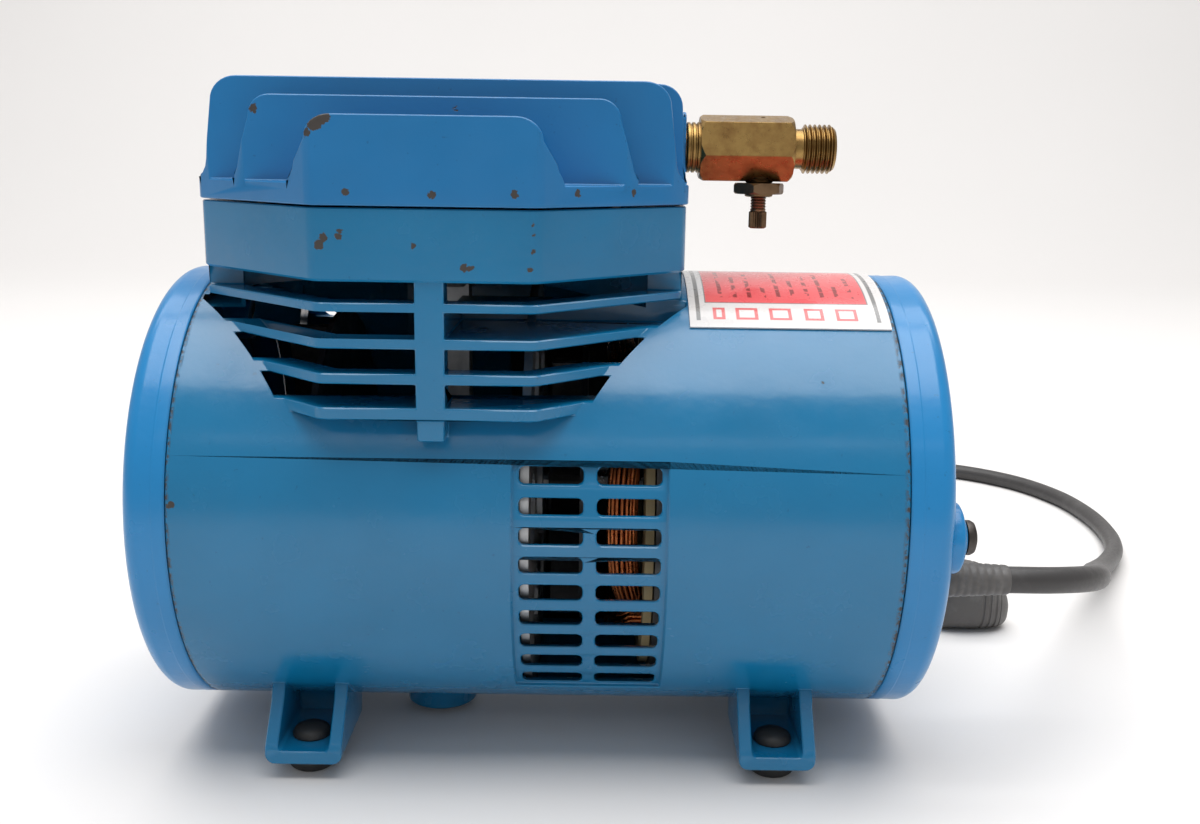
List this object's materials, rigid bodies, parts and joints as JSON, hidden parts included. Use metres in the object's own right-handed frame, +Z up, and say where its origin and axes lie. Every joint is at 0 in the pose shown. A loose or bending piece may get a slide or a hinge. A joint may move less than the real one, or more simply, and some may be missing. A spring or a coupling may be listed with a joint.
{
  "type": "oilless diaphragm compressor",
  "caption": "Small mains-electric oilless diaphragm compressor and vacuum pump: finned octagonal head, louvred motor housing on feet, brass outlet with a bleed valve, and a coiled cord.",
  "frame": {"origin": "centre of the machine's box on the surface it stands on, without its cord", "axes": "+X along the motor shaft towards the outlet and the cord end, +Y away from the side with the view of the grille, +Z up"},
  "size_m": [0.3507, 0.3516, 0.1833],
  "materials": {
    "housing_paint": "teal-blue enamel over cast aluminium",
    "head_paint": "azure enamel over cast aluminium",
    "brass": "aged bare brass",
    "steel": "plain machined steel",
    "dark_steel": "black oxide",
    "cast_aluminium": "as cast",
    "black_rubber": "black moulded rubber",
    "cord_jacket": "dark grey moulded jacket",
    "fan_plastic": "black moulded plastic",
    "copper_winding": "enamelled copper wire",
    "lamination_steel": "stacked sheet steel",
    "filter_felt": "pressed felt",
    "gasket_sheet": "fibre gasket sheet",
    "label_face": "printed film, no lettering"
  },
  "bodies": {
    "housing": {"bleed_valve_body": "brass", "centre_bearing_bracket": "cast_aluminium", "cord_coil": "cord_jacket", "cord_lead": "cord_jacket", "cord_strain_relief": "cord_jacket", "cord_tail": "cord_jacket", "cylinder_head": "head_paint", "diaphragm": "black_rubber", "exhaust_reed_screw": "steel", "field_coil_1": "copper_winding", "field_coil_2": "copper_winding", "field_coil_3": "copper_winding", "field_coil_4": "copper_winding", "head_gasket": "gasket_sheet", "head_screw_1": "steel", "head_screw_2": "steel", "head_screw_3": "steel", "head_screw_4": "steel", "intake_filter": "filter_felt", "intake_reed_screw": "steel", "intake_ring": "steel", "left_cap_screw_1": "steel", "left_cap_screw_2": "steel", "left_cap_screw_3": "steel", "left_end_cap": "head_paint", "main_bearing_left": "steel", "main_bearing_right": "steel", "motor_housing": "housing_paint", "nameplate": "label_face", "outlet_nipple": "brass", "plug_blade_1": "brass", "plug_blade_2": "brass", "plug_body": "cord_jacket", "right_cap_screw_1": "steel", "right_cap_screw_2": "steel", "right_cap_screw_3": "steel", "right_end_cap": "head_paint", "rubber_foot_1": "black_rubber", "rubber_foot_2": "black_rubber", "rubber_foot_3": "black_rubber", "rubber_foot_4": "black_rubber", "stator_core": "lamination_steel", "valve_plate": "cast_aluminium"},
    "rotor": {"rotor_shaft": "steel", "rotor_core": "lamination_steel", "crank_eccentric": "steel", "eccentric_set_screw": "dark_steel", "cooling_fan_left": "fan_plastic", "cooling_fan_right": "fan_plastic"},
    "rod": {"connecting_rod": "cast_aluminium", "rod_bearing": "steel", "diaphragm_lower_plate": "cast_aluminium", "diaphragm_upper_plate": "cast_aluminium", "diaphragm_screw": "steel"},
    "intake_reed": {"intake_reed": "steel"},
    "exhaust_reed": {"exhaust_reed": "steel"},
    "needle": {"bleed_needle": "steel"},
    "bleed_screw": {"bleed_screw": "brass"},
    "lock_nut": {"bleed_lock_nut": "brass"}
  },
  "joints": [
    {"name": "rotor_spin", "type": "hinge", "parent": "housing", "child": "rotor", "pos_m": [-0.03035, 0, 0.07], "axis": [1, 0, 0], "continuous": true},
    {"name": "rod_swivel", "type": "hinge", "parent": "rotor", "child": "rod", "pos_m": [-0.03035, 0, 0.0725], "axis": [1, 0, 0], "continuous": true, "deforming": ["diaphragm"]},
    {"name": "intake_reed_flex", "type": "hinge", "parent": "housing", "child": "intake_reed", "pos_m": [-0.04635, -0.01, 0.1471], "axis": [-1, 0, 0], "range_deg": [0, 5], "stiffness_Nm_per_rad": 0.02},
    {"name": "exhaust_reed_flex", "type": "hinge", "parent": "housing", "child": "exhaust_reed", "pos_m": [-0.01435, -0.01, 0.1507], "axis": [1, 0, 0], "range_deg": [0, 5], "stiffness_Nm_per_rad": 0.02},
    {"name": "bleed_needle_travel", "type": "slide", "parent": "housing", "child": "needle", "axis": [0, 0, 1], "range_m": [-0.0024, 0.0008]},
    {"name": "bleed_screw_turn", "type": "hinge", "parent": "needle", "child": "bleed_screw", "pos_m": [0.05485, 0, 0.15], "axis": [0, 0, 1], "range_deg": [-1080, 360]},
    {"name": "lock_nut_turn", "type": "hinge", "parent": "housing", "child": "lock_nut", "pos_m": [0.05485, 0, 0.1557], "axis": [0, 0, 1], "range_deg": [-180, 0]}
  ],
  "couplings": [
    {"joint": "rod_swivel", "follows": "rotor_spin", "ratio": -1},
    {"joint": "bleed_screw_turn", "follows": "bleed_needle_travel", "rad_per_m": 7854}
  ]
}
